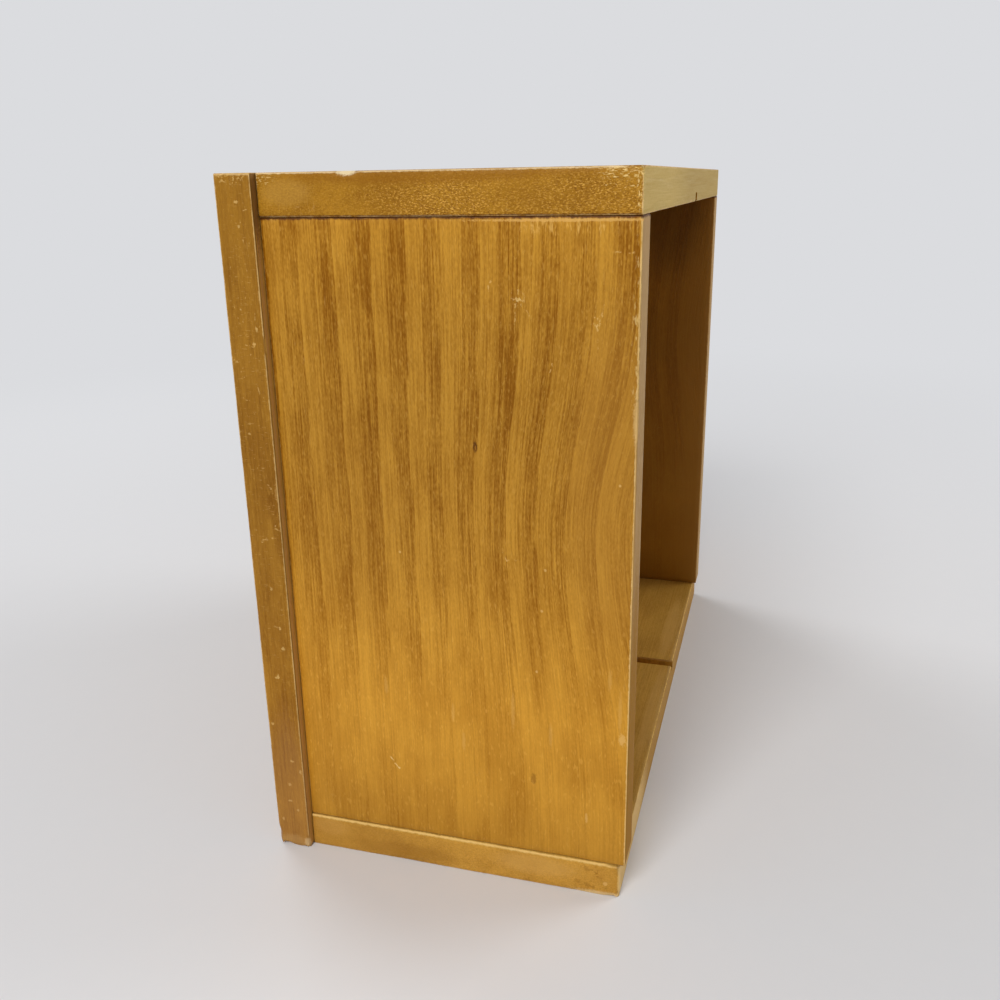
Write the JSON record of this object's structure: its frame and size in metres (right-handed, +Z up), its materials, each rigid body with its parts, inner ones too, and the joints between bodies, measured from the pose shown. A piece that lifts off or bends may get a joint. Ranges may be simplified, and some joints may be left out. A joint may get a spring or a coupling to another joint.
{
  "type": "spice box",
  "caption": "Small open-backed wooden spice box: butted boards and veneered sides, a face frame with a slight overhang, and small inset drawers with turned knobs in two columns.",
  "frame": {"origin": "on the resting plane, at the middle of the box's width and of its depth from the face frame to the open back", "axes": "+X to the right seen from the front, +Y from the front to the open back, +Z up"},
  "size_m": [0.2338, 0.125, 0.203],
  "materials": {
    "stained_veneer": "satin varnish",
    "stained_board": "satin varnish",
    "stained_frame": "satin varnish",
    "stained_drawer_front": "satin varnish",
    "turned_knob": "satin varnish",
    "raw_softwood": "unfinished",
    "thin_plywood": "sealed",
    "nail_steel": "dull"
  },
  "bodies": {
    "case": {"top_board": "stained_board", "bottom_board": "stained_board", "left_side": "stained_veneer", "right_side": "stained_veneer", "partition": "thin_plywood", "lower_shelf": "thin_plywood", "upper_shelf": "thin_plywood", "left_stile": "stained_frame", "right_stile": "stained_frame", "top_rail": "stained_frame", "bottom_rail": "stained_frame", "mullion": "stained_frame", "lower_left_rail": "stained_frame", "lower_right_rail": "stained_frame", "upper_left_rail": "stained_frame", "upper_right_rail": "stained_frame", "drawer_guides": "raw_softwood", "drawer_stops": "raw_softwood", "case_nails": "nail_steel", "frame_pins": "nail_steel"},
    "drawer_lower_left": {"drawer_lower_left_front": "stained_drawer_front", "drawer_lower_left_left_wall": "raw_softwood", "drawer_lower_left_right_wall": "raw_softwood", "drawer_lower_left_back": "raw_softwood", "drawer_lower_left_bottom": "thin_plywood", "drawer_lower_left_knob": "turned_knob"},
    "drawer_lower_right": {"drawer_lower_right_front": "stained_drawer_front", "drawer_lower_right_left_wall": "raw_softwood", "drawer_lower_right_right_wall": "raw_softwood", "drawer_lower_right_back": "raw_softwood", "drawer_lower_right_bottom": "thin_plywood", "drawer_lower_right_knob": "turned_knob"},
    "drawer_middle_left": {"drawer_middle_left_front": "stained_drawer_front", "drawer_middle_left_left_wall": "raw_softwood", "drawer_middle_left_right_wall": "raw_softwood", "drawer_middle_left_back": "raw_softwood", "drawer_middle_left_bottom": "thin_plywood", "drawer_middle_left_knob": "turned_knob"},
    "drawer_middle_right": {"drawer_middle_right_front": "stained_drawer_front", "drawer_middle_right_left_wall": "raw_softwood", "drawer_middle_right_right_wall": "raw_softwood", "drawer_middle_right_back": "raw_softwood", "drawer_middle_right_bottom": "thin_plywood", "drawer_middle_right_knob": "turned_knob"},
    "drawer_upper_left": {"drawer_upper_left_front": "stained_drawer_front", "drawer_upper_left_left_wall": "raw_softwood", "drawer_upper_left_right_wall": "raw_softwood", "drawer_upper_left_back": "raw_softwood", "drawer_upper_left_bottom": "thin_plywood", "drawer_upper_left_knob": "turned_knob"},
    "drawer_upper_right": {"drawer_upper_right_front": "stained_drawer_front", "drawer_upper_right_left_wall": "raw_softwood", "drawer_upper_right_right_wall": "raw_softwood", "drawer_upper_right_back": "raw_softwood", "drawer_upper_right_bottom": "thin_plywood", "drawer_upper_right_knob": "turned_knob"}
  },
  "joints": [
    {"name": "drawer_lower_left_slide", "type": "slide", "parent": "case", "child": "drawer_lower_left", "axis": [0, -1, 0], "range_m": [0, 0.06]},
    {"name": "drawer_lower_right_slide", "type": "slide", "parent": "case", "child": "drawer_lower_right", "axis": [0, -1, 0], "range_m": [0, 0.06]},
    {"name": "drawer_middle_left_slide", "type": "slide", "parent": "case", "child": "drawer_middle_left", "axis": [0, -1, 0], "range_m": [0, 0.06]},
    {"name": "drawer_middle_right_slide", "type": "slide", "parent": "case", "child": "drawer_middle_right", "axis": [0, -1, 0], "range_m": [0, 0.06]},
    {"name": "drawer_upper_left_slide", "type": "slide", "parent": "case", "child": "drawer_upper_left", "axis": [0, -1, 0], "range_m": [0, 0.06]},
    {"name": "drawer_upper_right_slide", "type": "slide", "parent": "case", "child": "drawer_upper_right", "axis": [0, -1, 0], "range_m": [0, 0.06]}
  ]
}
